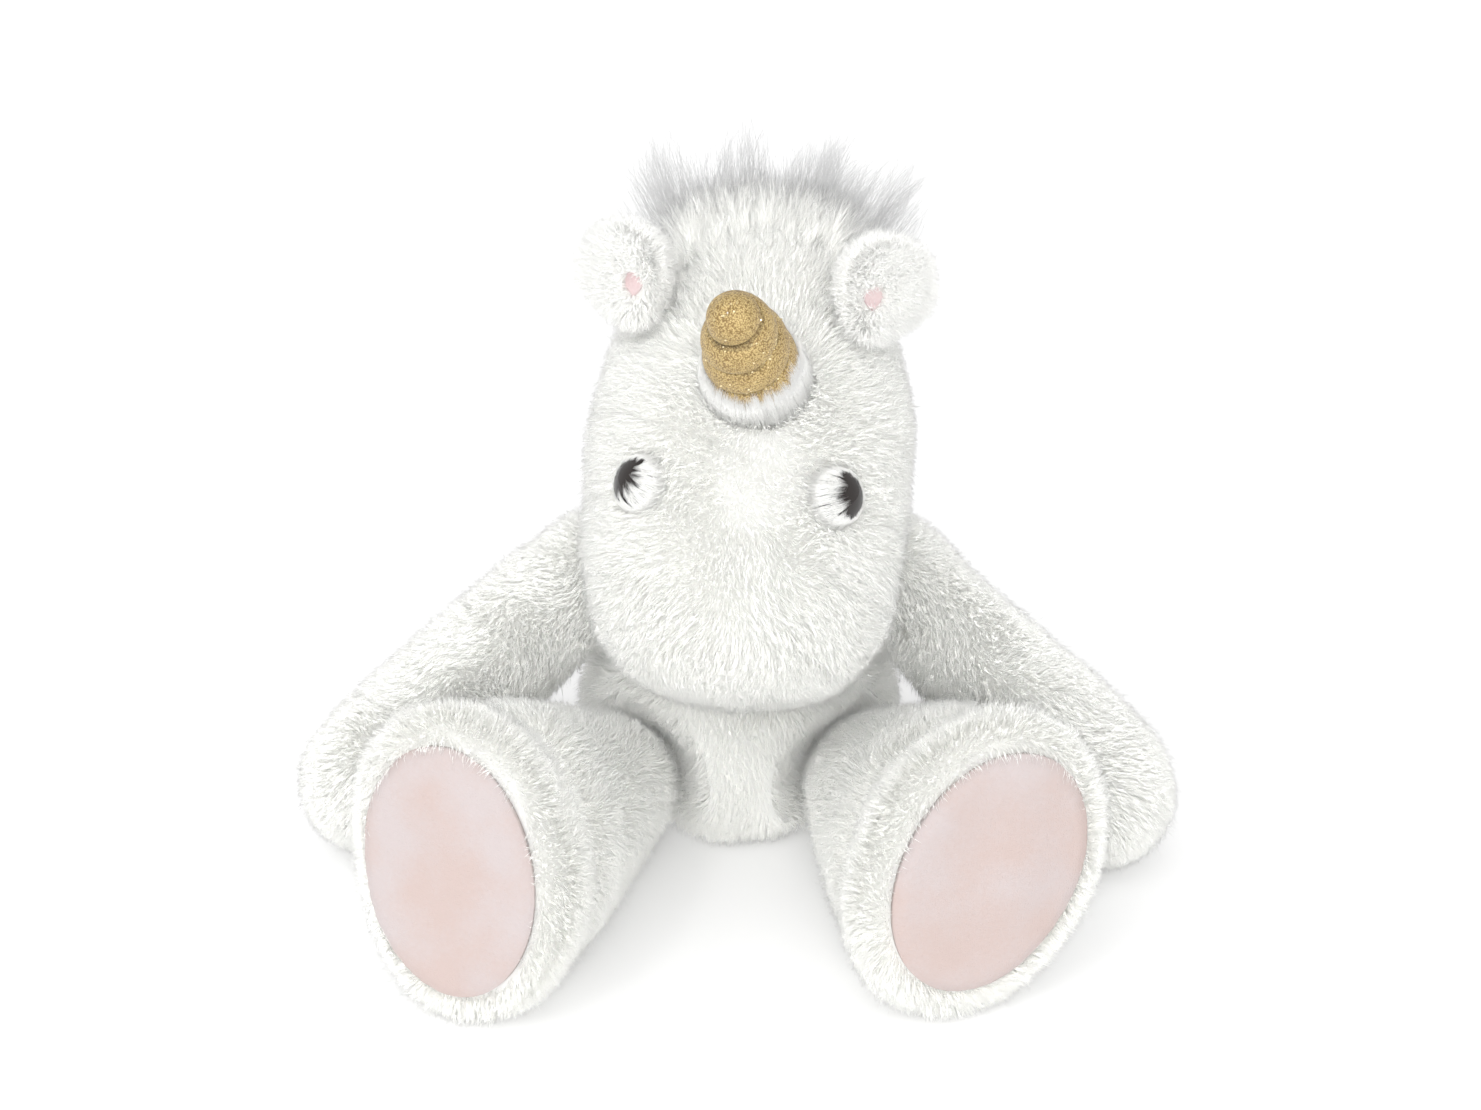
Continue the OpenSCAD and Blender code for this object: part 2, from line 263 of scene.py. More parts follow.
def fur_shades(name, colors, glow=0.0):
    """A material for each shade, as a strand is all one; glow is how far light spreads."""
    shades = []
    spread = dict(Subsurface_Weight=1.0, Subsurface_Radius=(1, 1, 1), Subsurface_Scale=glow)
    for k, color in enumerate(colors):
        mat = material(f"{name}_{k + 1}", color, 0.85, Specular_IOR_Level=0.2,
                       **(spread if glow else {}))
        make = Maker(mat)
        make.roughness(make.between(make.noise(3 * MM), 0.7, 0.95))
        make.shader.subsurface_method = "BURLEY"
        shades.append(mat)
    return shades


PALE = [(0.94, 0.94, 0.92), (0.955, 0.955, 0.94), (0.97, 0.97, 0.955)]
FUR = fur_shades("fur", [(0.95, 0.95, 0.925), (0.93, 0.93, 0.905), (0.965, 0.965, 0.945)],
                 glow=1.1 * MM)
WISPS = fur_shades("wisp", PALE, glow=0.03 * MM)
EAR_FUR = fur_shades("ear_fur", PALE, glow=0.4 * MM)
HAIR = fur_shades("hair", [(0.68, 0.68, 0.68), (0.82, 0.82, 0.82), (0.93, 0.93, 0.93)])


def backing_material():
    mat = material("knit_backing", (0.86, 0.86, 0.83), 0.9, Specular_IOR_Level=0.2)
    make = Maker(mat)
    make.bump(make.cells(0.9 * MM), 0.2 * MM, 0.5)
    make.roughness(make.between(make.noise(4 * MM), 0.8, 1.0))
    return mat


def velour_material(name, light, dark):
    """Short velour: brushed blotches, a fine nap and a soft sheen."""
    mat = material(name, light, 0.9, Specular_IOR_Level=0.2, Sheen_Weight=0.25, Sheen_Roughness=0.4)
    make = Maker(mat)
    nap = make.sum(make.noise(30 * MM, 2.0), make.noise(1.2 * MM, 2.0), 0.2)
    mid = tuple((a + b) / 2 for a, b in zip(light, dark))
    make.color(make.ramp(nap, [(0.48, dark), (0.6, mid), (0.72, light)]))
    grain = make.sum(make.noise(0.5 * MM, 2.0), make.noise(2.5 * MM), 0.6)
    make.bump(grain, 0.4 * MM, 0.8)
    return mat


KNIT_BEAD = 0.46 * MM
KNIT_COLORS = ((0.70, 0.51, 0.20), (0.52, 0.355, 0.12), (0.22, 0.125, 0.035))


def horn_material(name, light):
    """Metallic gold knit: bright beads with dark gaps, and slow changes of tint."""
    bright, mid, dark = (tuple(light * v for v in color) for color in KNIT_COLORS)
    mat = material(name, mid, 0.5, Metallic=0.45, Specular_IOR_Level=0.5)
    make = Maker(mat)
    beads = make.cells(KNIT_BEAD)
    tint = make.sum(beads, make.noise(6 * MM), -0.25)
    make.color(make.ramp(tint, [(0.05, bright), (0.3, mid), (0.6, dark)]))
    make.roughness(make.between(make.noise(1.2 * MM), 0.3, 0.6))
    make.bump(beads, 0.25 * MM, -0.8)
    return mat


BACKING = backing_material()
SOLE_VELOUR = velour_material("sole_velour", (0.53, 0.455, 0.45), (0.52, 0.40, 0.37))
EAR_VELOUR = velour_material("ear_velour", (0.74, 0.58, 0.58), (0.64, 0.44, 0.45))
GOLD = horn_material("gold_knit", 1)
# darker copies of the gold knit: painted shade for the folds beside the crease, painted shadow in the crease
GOLD_PAINTED_FOLD_SHADE = horn_material("gold_knit_painted_fold_shade", 0.62)
GOLD_PAINTED_CREASE_SHADOW = horn_material("gold_knit_painted_crease_shadow", 0.3)


def plain_material(name, color, roughness, size, depth, **sockets):
    """A moulded, spun or woven finish: slight gloss changes and a fine relief."""
    mat = material(name, color, roughness, **sockets)
    make = Maker(mat)
    make.roughness(make.between(make.noise(size), roughness * 0.85, min(1, roughness * 1.15)))
    make.bump(make.noise(size / 3), depth, 0.5)
    return mat


EYE_PLASTIC = plain_material("eye_plastic", (0.010, 0.007, 0.006), 0.09, 4 * MM, 0.002 * MM,
                             Specular_IOR_Level=0.3)
GLITTER = plain_material("glitter", (0.95, 0.80, 0.45), 0.18, 0.6 * MM, 0.01 * MM, Metallic=1.0)
# the crease's real thread, coloured dark brown as painted shadow of the crease
THREAD_WITH_PAINTED_SHADOW = plain_material("gold_thread", (0.20, 0.12, 0.04), 0.55, 0.5 * MM, 0.05 * MM,
                             Metallic=0.3)
INSIDES = {
    "polyester_fill": plain_material("polyester_fill", (0.93, 0.93, 0.91), 0.95, 3 * MM, 0.6 * MM),
    "pellet_bag": plain_material("pellet_bag", (0.48, 0.53, 0.57), 0.8, 3 * MM, 0.8 * MM),
    "washer_plastic": plain_material("washer_plastic", (0.80, 0.80, 0.78), 0.45, 2 * MM, 0.03 * MM),
    "satin_label": plain_material("satin_label", (0.93, 0.92, 0.90), 0.35, 0.6 * MM, 0.04 * MM,
                                  Sheen_Weight=0.3),
}
for part in frame["record"]["subparts"]:
    if part["material_slot"] in INSIDES:
        mesh = nodes[part["node"]].data
        mesh.materials.clear()
        mesh.materials.append(INSIDES[part["material_slot"]])


# ---- Mesh helpers ----

def new_object(name, mesh, *materials):
    obj = bpy.data.objects.new(name, mesh)
    scene.collection.objects.link(obj)
    mesh.materials.clear()
    for mat in materials:
        mesh.materials.append(mat)
    return obj


def mesh_from(name, points, faces, *materials):
    """A smooth object from points and faces."""
    mesh = bpy.data.meshes.new(name)
    mesh.from_pydata([tuple(p) for p in points], [], [tuple(int(i) for i in f) for f in faces])
    mesh.polygons.foreach_set("use_smooth", [True] * len(mesh.polygons))
    mesh.update()
    return new_object(name, mesh, *materials)


def triangles_mesh(name, points, triangles, shade):
    """A mesh of triangles from arrays; shade is each triangle's material index."""
    mesh = bpy.data.meshes.new(name)
    mesh.vertices.add(len(points))
    mesh.vertices.foreach_set("co", points.astype(np.float32).ravel())
    mesh.loops.add(triangles.size)
    mesh.loops.foreach_set("vertex_index", triangles.astype(np.int32).ravel())
    mesh.polygons.add(len(triangles))
    mesh.polygons.foreach_set("loop_start", np.arange(0, triangles.size, 3, dtype=np.int32))
    mesh.polygons.foreach_set("material_index", shade.astype(np.int32))
    mesh.polygons.foreach_set("use_smooth", np.ones(len(triangles), bool))
    mesh.update(calc_edges=True)
    return mesh


def applied(obj):
    """Applies an object's modifiers."""
    graph = bpy.context.evaluated_depsgraph_get()
    mesh = bpy.data.meshes.new_from_object(obj.evaluated_get(graph))
    obj.modifiers.clear()
    old, obj.data = obj.data, mesh
    bpy.data.meshes.remove(old)
    return obj


def move_points(obj, points):
    obj.data.vertices.foreach_set("co", points.ravel())
    obj.data.update()


def declare(obj, body, node=None):
    """Says what a piece rides on and hides the node it stands for."""
    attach(obj, body)
    if node:
        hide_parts(node)
    return obj


def grow(obj, distance):
    """Moves an object's surface outward."""
    move_points(obj, points_of(obj) + normals_of(obj) * distance)


def tube_faces(rows, around):
    """The faces of a closed tube of rows of points."""
    faces = []
    for i in range(rows - 1):
        for k in range(around):
            a, b = i * around + k, i * around + (k + 1) % around
            faces.append((a, b, b + around, a + around))
    last = (rows - 1) * around
    return faces + [tuple(range(around))[::-1], tuple(range(last, last + around))]


def pad_form(name, front, back, rings, around, *materials):
    """A closed pad between two discs of points, each a middle point and its rings outward."""
    n, faces = len(front), []
    edge = 1 + (rings - 1) * around
    for k in range(around):
        m = (k + 1) % around
        faces.append((0, 1 + k, 1 + m))
        faces.append((n, n + 1 + m, n + 1 + k))
        for a in range(1, edge, around):
            b = a + around
            faces.append((a + k, b + k, b + m, a + m))
            faces.append((n + a + m, n + b + m, n + b + k, n + a + k))
        faces.append((edge + k, n + edge + k, n + edge + m, edge + m))
    return mesh_from(name, np.concatenate([front, back]), faces, *materials)


def wobble(points, size, seed, waves=8):
    """A smooth vector field of about unit size, whose features are about size metres across."""
    draw = np.random.default_rng(seed)
    ways = unit(draw.normal(size=(waves, 3))) * draw.uniform(0.7, 1.4, (waves, 1))
    shift = draw.uniform(0, TURN, (waves, 3))
    phase = points @ ways.T * (math.pi / size)
    return np.sin(phase[:, :, None] + shift).sum(1) / math.sqrt(waves / 2)


def convex_form(name, node):
    """The outer surface of a convex node, closed."""
    bm = bmesh.new()
    for p in points_of(nodes[node]):
        bm.verts.new(p)
    bmesh.ops.remove_doubles(bm, verts=bm.verts, dist=WELD)
    bmesh.ops.convex_hull(bm, input=bm.verts)
    loose = [v for v in bm.verts if not v.link_faces]
    bmesh.ops.delete(bm, geom=loose, context="VERTS")
    return form_object(name, bm)


def hollow_form(name, node):
    """The outer surface of a node that isn't convex, without the spaces inside it."""
    bm = bmesh.new()
    bm.from_mesh(nodes[node].data)
    bmesh.ops.remove_doubles(bm, verts=bm.verts, dist=WELD)
    left_over, shells = set(bm.verts), []
    while left_over:
        shell, edge = set(), [left_over.pop()]
        while edge:
            v = edge.pop()
            shell.add(v)
            near = {e.other_vert(v) for e in v.link_edges} & left_over
            left_over -= near
            edge.extend(near)
        shells.append(shell)

    def height(shell):
        levels = [v.co.z for v in shell]
        return max(levels) - min(levels)

    keep = max(shells, key=height)
    bmesh.ops.delete(bm, geom=[v for v in bm.verts if v not in keep], context="VERTS")
    return form_object(name, bm)


def form_object(name, bm):
    mesh = bpy.data.meshes.new(name)
    bm.to_mesh(mesh)
    bm.free()
    return new_object(name, mesh)


# ---- Stuffed skins ----

def remeshed(obj, voxel):
    mod = obj.modifiers.new("remesh", "REMESH")
    mod.mode = "VOXEL"
    mod.voxel_size = voxel
    mod.use_smooth_shade = True
    return applied(obj)


FILL_FRAMES = 20
LUMP_SIZE = 28 * MM


def filled(obj, seams, pressure, cap):
    """Fills a skin by a short cloth simulation with pressure, held at its seams."""
    start = points_of(obj)
    group = obj.vertex_groups.new(name="seams")
    group.add([int(i) for i in np.flatnonzero(seams(start))], 1.0, "REPLACE")
    mod = obj.modifiers.new("fill", "CLOTH")
    cloth = mod.settings
    cloth.use_pressure = True
    cloth.uniform_pressure_force = pressure
    cloth.vertex_group_mass = group.name
    cloth.effector_weights.gravity = 0
    scene.frame_start, scene.frame_end = 1, FILL_FRAMES
    for f in range(1, FILL_FRAMES + 1):
        scene.frame_set(f)
    graph = bpy.context.evaluated_depsgraph_get()
    swollen = points_of(obj.evaluated_get(graph))
    obj.modifiers.clear()
    scene.frame_set(1)
    step = swollen - start
    size = np.maximum(np.linalg.norm(step, axis=1, keepdims=True), 1e-9)
    move_points(obj, start + step * np.minimum(1, cap / size))
    return obj


def skin(name, node, seams, body, cover, form=convex_form, voxel=4 * MM, out=0.7 * MM,
         lumps=0.6 * MM, pressure=4.0, cap=1.6 * MM, seed=0, shape=None):
    """A cover's backing: the filling's outline, remeshed, filled by simulation and subdivided."""
    obj = remeshed(form(name, node), voxel)
    grow(obj, out)
    if shape is not None:
        move_points(obj, shape(points_of(obj)))
    filled(obj, seams, pressure, cap)
    grow(obj, lumps * wobble(points_of(obj), LUMP_SIZE, seed)[:, :1])
    mod = obj.modifiers.new("smooth", "SUBSURF")
    mod.levels = mod.render_levels = 1
    applied(obj)
    obj.data.materials.append(BACKING)
    return declare(obj, body, cover)


# ---- Fur ----

TAPER = 0.75                         # how much of its width a strand loses on the way to its tip
CELL_KEYS = 4001 ** np.arange(3)     # make one number of a tuft's three


def strands(name, spines, radii, shades, draw, body):
    """Closed tapering strands, as one object: spines holds the points along each one."""
    count, steps, _ = spines.shape
    along = unit(spines[:, -1] - spines[:, 0])
    u = unit(np.cross(along, unit(draw.normal(size=(count, 3)))))
    v = np.cross(along, u)
    rings = []
    for k in range(steps - 1):
        r = (radii * (1 - TAPER * k / (steps - 1)))[:, None]
        for a in np.arange(3) * TURN / 3:
            rings.append(spines[:, k] + r * (u * math.cos(a) + v * math.sin(a)))
    rings.append(spines[:, -1])
    points = np.stack(rings, 1)
    points[:, :, 2] = np.maximum(points[:, :, 2], FLOOR_GAP)
    tip = 3 * (steps - 1)
    faces = [(2, 1, 0)]
    for k in range(steps - 2):
        for a in range(3):
            low, next_low = 3 * k + a, 3 * k + (a + 1) % 3
            faces += [(low, next_low, next_low + 3), (low, next_low + 3, low + 3)]
    faces += [(tip - 3 + a, tip - 3 + (a + 1) % 3, tip) for a in range(3)]
    faces = np.array(faces)
    triangles = faces[None] + (np.arange(count) * (tip + 1))[:, None, None]
    shade = np.repeat(draw.integers(0, len(shades), count), len(faces))
    mesh = triangles_mesh(name, points.reshape(-1, 3), triangles.reshape(-1, 3), shade)
    return declare(new_object(name, mesh, *shades), body)


def scattered(obj, count, draw):
    """Evenly scattered places on an object's surface, with their normals."""
    mesh = obj.data
    mesh.calc_loop_triangles()
    tris = np.empty(len(mesh.loop_triangles) * 3, np.int32)
    mesh.loop_triangles.foreach_get("vertices", tris)
    tris = tris.reshape(-1, 3)
    co, no = points_of(obj), normals_of(obj)
    a, b, c = co[tris[:, 0]], co[tris[:, 1]], co[tris[:, 2]]
    reach = np.cumsum(np.linalg.norm(np.cross(b - a, c - a), axis=1))
    marks = (np.arange(count) + draw.uniform(0, 1, count)) / count * reach[-1]
    pick = np.minimum(np.searchsorted(reach, marks), len(tris) - 1)
    p, q = draw.uniform(0, 1, (2, count))
    over = p + q > 1
    p[over], q[over] = 1 - p[over], 1 - q[over]
    weights = np.stack([1 - p - q, p, q], 1)[:, :, None]
    return (co[tris[pick]] * weights).sum(1), unit((no[tris[pick]] * weights).sum(1))


def tufted(roots, tips, size, gather, draw, seed):
    """Pulls the tips together in tufts about size metres across."""
    warped = roots + wobble(roots, 2.2 * size, seed) * 0.45 * size
    cell = np.floor(warped / size).astype(np.int64)
    _, which = np.unique(cell @ CELL_KEYS, return_inverse=True)
    which = which.ravel()
    members = np.bincount(which)[:, None]
    meet = np.stack([np.bincount(which, tips[:, k]) for k in range(3)], 1) / members
    pull = gather * draw.uniform(0.3, 1.0, (len(roots), 1))
    return tips + (meet[which] - tips) * pull


def fur(name, obj, body, count, length, comb, lean=0.6, swirl=0.4, swirl_size=14 * MM,
        tuft=4.2 * MM, gather=0.25, radius=THICK, keep=None, lengths=None, seed=1,
        shades=FUR, frizz=0.22, steps=3, bend=0.56, sunk=0.4 * MM):
    """Grows a pile on a skin; comb gives the way that each strand is brushed."""
    draw = np.random.default_rng(seed)
    roots, normals = scattered(obj, count, draw)
    if keep is not None:
        kept = keep(roots)
        roots, normals = roots[kept], normals[kept]
    n = len(roots)
    brushed = comb(roots, normals) + wobble(roots, swirl_size, seed + 1) * swirl
    brushed -= normals * (brushed * normals).sum(1, keepdims=True)
    way = unit(normals + brushed * lean + draw.normal(size=(n, 3)) * frizz)
    size = length * draw.uniform(0.62, 1.0, (n, 1))
    guard_hair = draw.uniform(0, 1, (n, 1)) < 0.05
    size = np.where(guard_hair, size * 1.3, size)
    if lengths is not None:
        size = size * lengths(roots)[:, None]
    pull = gather(roots)[:, None] if callable(gather) else gather
    tips = tufted(roots, roots + way * size, tuft, pull, draw, seed + 2)
    t = np.linspace(0, 1, steps)[None, :, None]
    spines = roots[:, None] * (1 - t) + tips[:, None] * t
    spines = spines + (normals * size * bend)[:, None] * t * (1 - t)
    spines[:, 0] -= normals * sunk
    order = np.argsort(roots @ unit(np.ptp(roots, axis=0) * [1, 1, 1.3]))
    parts = math.ceil(n / MAX_STRANDS)
    for k, share in enumerate(np.array_split(order, parts)):
        radii = radius * draw.uniform(0.75, 1.15, len(share))
        piece = f"{name}_{k + 1}" if parts > 1 else name
        strands(piece, spines[share], radii, shades, draw, body)


def away_from(point):
    return lambda roots, normals: unit(roots - point)


def along(way):
    return lambda roots, normals: np.broadcast_to(np.asarray(way, float), roots.shape)


# ---- The head ----

MUZZLE_SEAM = -50 * MM       # heights in the head's axes
MUZZLE_TOP = -15 * MM
MUZZLE_FADE = 30 * MM
HORN_BARE = 10.5 * MM        # no fur grows within this of the horn's seat


def head_seams(points):
    """The seam under the chin and down the back, and the one round the muzzle."""
    p = HEAD.local(points)
    middle_seam = (abs(p[:, 0]) < SEAM) & (p[:, 1] > -0.3 * head_r)
    return middle_seam | (abs(p[:, 2] - MUZZLE_SEAM) < 2.5 * MM)


head = skin("head_skin", "head_stuffing", head_seams, "head", "head_cover", seed=11)

eye_r, eye_rim, eye_top = {}, {}, {}
for side in SIDES:
    p = EYE[side].local(points_of(nodes[f"{side}_eye"]))
    rho = np.hypot(p[:, 0], p[:, 1])
    eye_r[side] = rho.max()
    eye_rim[side] = p[rho > 0.98 * rho.max(), 2].min()
    eye_top[side] = p[:, 2].max()


def off_eyes_and_horn(points):
    free = np.ones(len(points), bool)
    for side in SIDES:
        p = EYE[side].local(points)
        free &= (np.hypot(p[:, 0], p[:, 1]) > eye_r[side] + 0.2 * MM) | (p[:, 2] < 0)
    p = HORN.local(points)
    return free & (np.linalg.norm(p, axis=1) > HORN_BARE)


def muzzle(points):
    """1 on the muzzle, where the pile is curlier, to 0 above the eyes."""
    return np.clip((MUZZLE_TOP - HEAD.local(points)[:, 2]) / MUZZLE_FADE, 0, 1)


fur("head_fur", head, "head", 107000, 6.8 * MM, away_from(horn_seat), lean=0.55, radius=FINE,
    keep=off_eyes_and_horn, gather=lambda p: 0.05 + 0.3 * muzzle(p), frizz=0.3, seed=21)


# ---- Eyes ----

ROLL = 0.5 * MM              # radius of an eye's rolled rim; its dome stands on the roll
SHAFT_EDGE = 0.4 * MM


def revolved(name, axes, profile, segments, *materials):
    """A closed solid of revolution about Z of the axes; profile runs from axis to axis."""
    profile = np.asarray(profile, float)
    turn = np.arange(segments) * TURN / segments
    rings = profile[1:-1]
    x = rings[:, None, 0] * np.cos(turn)
    y = rings[:, None, 0] * np.sin(turn)
    z = np.broadcast_to(rings[:, None, 1], x.shape)
    points = np.concatenate([[[0, 0, profile[0, 1]]], np.stack([x, y, z], 2).reshape(-1, 3),
                             [[0, 0, profile[-1, 1]]]])
    n, last = len(rings), 1 + len(rings) * segments
    faces = []
    for k in range(segments):
        m = (k + 1) % segments
        faces.append((0, 1 + m, 1 + k))
        faces.append((last, last - segments + k, last - segments + m))
        for i in range(n - 1):
            a, b = 1 + i * segments, 1 + (i + 1) * segments
            faces.append((a + k, a + m, b + m, b + k))
    return mesh_from(name, axes.world(points), faces, *materials)


def eye(side):
    """A glossy dome with its rolled rim and the shaft behind it."""
    r, rim, top = eye_r[side], eye_rim[side], eye_top[side]
    tail_end = EYE[side].local(points_of(nodes[f"{side}_eye"]))[:, 2].min()
    shaft, foot = r / 3, rim + 2 * ROLL
    arc = [(r * math.cos(a), foot + (top - foot) * math.sin(a))
           for a in np.linspace(0, math.pi / 2, 40)]
    roll = [(r - ROLL + ROLL * math.cos(a), rim + ROLL + ROLL * math.sin(a))
            for a in np.linspace(-math.pi / 2, 0, 8)]
    profile = [(0, tail_end), (shaft - SHAFT_EDGE, tail_end), (shaft, tail_end + SHAFT_EDGE),
               (shaft, rim)] + roll + arc[:-1] + [(0, top)]
    obj = revolved(f"{side}_eye_dome", EYE[side], profile, 96, EYE_PLASTIC)
    declare(obj, "head", f"{side}_eye")


def eye_tufts(side, count, outer, cover, sink, seed, locks=64):
    """Fur round the rim, which lies over the dome in pointed tufts.

    They reach outer radii over it on its outer side and cover more on its inner side, and sink
    turns that side downward.
    """
    draw = np.random.default_rng(seed)
    axes, r = EYE[side], eye_r[side]
    towards = axes.rows @ unit(-SIGN[side] * head_x - sink * HEAD.rows[2])
    most = math.atan2(towards[1], towards[0])
    lock = draw.integers(0, locks, count)
    lock_angle = (np.arange(locks) + draw.uniform(-0.4, 0.4, locks)) * TURN / locks
    lock_share = draw.uniform(0.35, 1.0, locks)
    lock_way = lock_angle + draw.normal(size=locks) * 0.25
    angle = lock_angle[lock] + draw.normal(size=count) * 0.06
    inner = np.clip(np.cos(angle - most), 0, 1) ** 0.8
    reach = r * (outer + cover * inner) * lock_share[lock] * draw.uniform(0.55, 1.0, count)
    inward = np.stack([np.cos(lock_way[lock]), np.sin(lock_way[lock])], 1)
    across = np.array([math.cos(most), math.sin(most)])
    way = -unit(inward * (1.0 - 0.6 * inner[:, None]) + across * (0.8 * inner[:, None]))

    def at(flat, up):
        """Places over the dome, up above it."""
        foot = eye_rim[side] + 2 * ROLL
        share = np.clip(1 - (np.linalg.norm(flat, axis=1) / r) ** 2, 0, 1)
        dome = foot + (eye_top[side] - foot) * np.sqrt(share)
        return np.concatenate([flat, (dome + up)[:, None]], 1)

    rim = np.stack([np.cos(angle), np.sin(angle)], 1)
    foot = rim * (r + draw.uniform(0.2, 2.0, count) * MM)[:, None]
    edge = rim * r * 1.03
    low = at(foot, -2.5 * MM)
    edge_point = at(edge, draw.uniform(0.2, 1.3, count) * MM)
    over = at(edge + way * reach[:, None] * 0.55, draw.uniform(0.25, 0.9, count) * MM)
    tip = at(edge + way * reach[:, None], draw.uniform(0.08, 0.35, count) * MM)
    spines = axes.world(np.stack([low, edge_point, over, tip], 1))
    strands(f"{side}_eye_tufts", spines, draw.uniform(0.05, 0.085, count) * MM, WISPS, draw,
            "head")


for side in SIDES:
    eye(side)
eye_tufts("left", 1700, 0.32, 0.9, 0.3, 61)
eye_tufts("right", 1800, 0.32, 0.95, 0.7, 63)


# ---- The horn ----

horn_len = HORN.local(points_of(nodes["horn_cover"]))[:, 2].max()
HORN_PITCH = 10.5 * MM
HORN_TURN = 0.75             # height of the last crease in front, as a share of the horn
HORN_FOOT = -0.25            # how far the horn goes on into the head, as an angle on its outline
WIDE_AT = [-3.25, -2.25, -1.25, -0.75, -0.5, -0.25, 0.5]    # places along the spiral, in turns
WIDE = [13.2, 12.4, 11.1, 9.3, 7.9, 7.2, 7.0]                # widest radius of the bead there, mm
TUCK_AT = [-3.25, -2.25, -1.25, -0.25, 0, 0.5]
TUCK = [11.6, 10.0, 8.0, 4.9, 4.9, 7.0]                      # radius in the crease there, mm
BELLY = 0.26                                                 # share of a turn below the widest
BULB = 7 * MM                                                # height of the rounded tip
HORN_GATHER = np.array([-1 * MM, -1.2 * MM, horn_len - 0.2 * MM])    # middle of the gathered seam
HORN_SPLIT = unit(np.array([0.72, 0.69, 0]))                 # the way that seam runs


def horn_crease(angle):
    """Height of the spiral crease at an angle round the horn, seen clockwise from its tip."""
    return horn_len * HORN_TURN + (angle + math.pi / 2) / TURN * HORN_PITCH


def horn_surface(angle, height):
    """Radius of the stuffed spiral: a bead in each turn, widest near its lower end."""
    turn = (height - horn_crease(angle)) / HORN_PITCH
    lobe = np.floor(turn)
    up = turn - lobe
    place = lobe + angle / TURN
    widest = np.interp(place, WIDE_AT, np.array(WIDE)) * MM
    below = np.interp(place, TUCK_AT, np.array(TUCK)) * MM
    above = np.interp(place + 1, TUCK_AT, np.array(TUCK)) * MM
    rising = np.sqrt(np.clip(1 - (1 - up / BELLY) ** 2, 0, 1))
    falling = np.sqrt(np.clip(1 - (np.clip(up - BELLY, 0, 1) / (1 - BELLY)) ** 1.8, 0, 1))
    body = np.where(up < BELLY, below + (widest - below) * rising,
                    above + (widest - above) * falling)
    over = np.clip((height - horn_len + BULB) / BULB, 0, 1)
    return body * np.sqrt(np.clip(1 - over ** 2, 0, 1))


def spiral_form(name, inset, around, up, *materials):
    """The closed horn, with the seam that gathers its tip."""
    angle = np.arange(around) * TURN / around - math.pi
    height = (horn_len - inset) * np.sin(np.linspace(HORN_FOOT, math.pi / 2, up))
    a, h = np.meshgrid(angle, height)
    r = np.clip(horn_surface(a, h) - inset, 0.1 * MM, None)
    r[-1] = 0.1 * MM
    points = np.stack([r * np.cos(a), r * np.sin(a), h], 2).reshape(-1, 3)
    away = points - HORN_GATHER
    split = away @ HORN_SPLIT
    beside = np.sqrt(np.clip((away ** 2).sum(1) - split ** 2, 0, None))
    folds = 1 + 0.5 * np.cos(split / (0.45 * MM)) + 0.3 * np.cos(away[:, 0] / (0.3 * MM))
    depth = np.exp(-(beside / (1.1 * MM)) ** 2) * np.exp(-(split / (3.4 * MM)) ** 4)
    points -= unit(points * [1, 1, 0.35]) * (0.5 * MM * folds * depth)[:, None]
    return mesh_from(name, HORN.world(points), tube_faces(up, around), *materials)


def crease_place(points):
    """Points in the horn's axes, their angles round it and their turns above the crease."""
    p = HORN.local(points)
    angle = np.arctan2(p[:, 1], p[:, 0])
    return p, angle, (p[:, 2] - horn_crease(angle)) / HORN_PITCH


def horn():
    """The knit, with darker copies of the gold near the spiral crease: painted shade on the folds beside it and
    painted shadow in it.
    """
    obj = spiral_form("horn_knit", 0, 256, 260, GOLD, GOLD_PAINTED_FOLD_SHADE, GOLD_PAINTED_CREASE_SHADOW)
    mesh = obj.data
    spots = np.array([tuple(face.center) for face in mesh.polygons])
    _, angle, turn = crease_place(spots)
    lobe = np.round(turn)
    near = turn - lobe + 0.02 * wobble(spots, 2 * MM, 77)[:, 0]
    fading = np.clip(3 * (0.3 - lobe - angle / TURN), 0, 1)
    # faces near the crease take the painted shade, and a narrower band in it takes the painted shadow
    shade = np.where(abs(near) < 0.10 * fading, 1, 0)
    shade = np.where((near > -0.03 * fading) & (near < 0.04 * fading), 2, shade)
    mesh.polygons.foreach_set("material_index", shade.astype(np.int32))
    return declare(obj, "horn", "horn_cover")


def horn_filling():
    """Stuffing that follows the inside of the spiral."""
    obj = spiral_form("horn_filling", 0.9 * MM, 96, 80, INSIDES["polyester_fill"])
    declare(obj, "horn", "horn_stuffing")


def horn_thread():
    """The thread wound in the spiral crease, coloured dark brown as painted shadow of the crease."""
    sides, radius = 8, 0.3 * MM
    turns = np.linspace(-4.2 * math.pi, 0.7 * math.pi, 500)
    height = horn_crease(turns)
    r = horn_surface(wrapped(turns), height) + 0.05 * MM
    path = np.stack([r * np.cos(turns), r * np.sin(turns), height], 1)
    ahead = unit(np.gradient(path, axis=0))
    out = unit(path * [1, 1, 0])
    up = np.cross(ahead, out)
    rings = [path + radius * (out * math.cos(t) + up * math.sin(t))
             for t in np.arange(sides) * TURN / sides]
    points = np.stack(rings, 1).reshape(-1, 3)
    obj = mesh_from("horn_winding", HORN.world(points), tube_faces(len(path), sides), THREAD_WITH_PAINTED_SHADOW)
    declare(obj, "horn", "horn_thread")


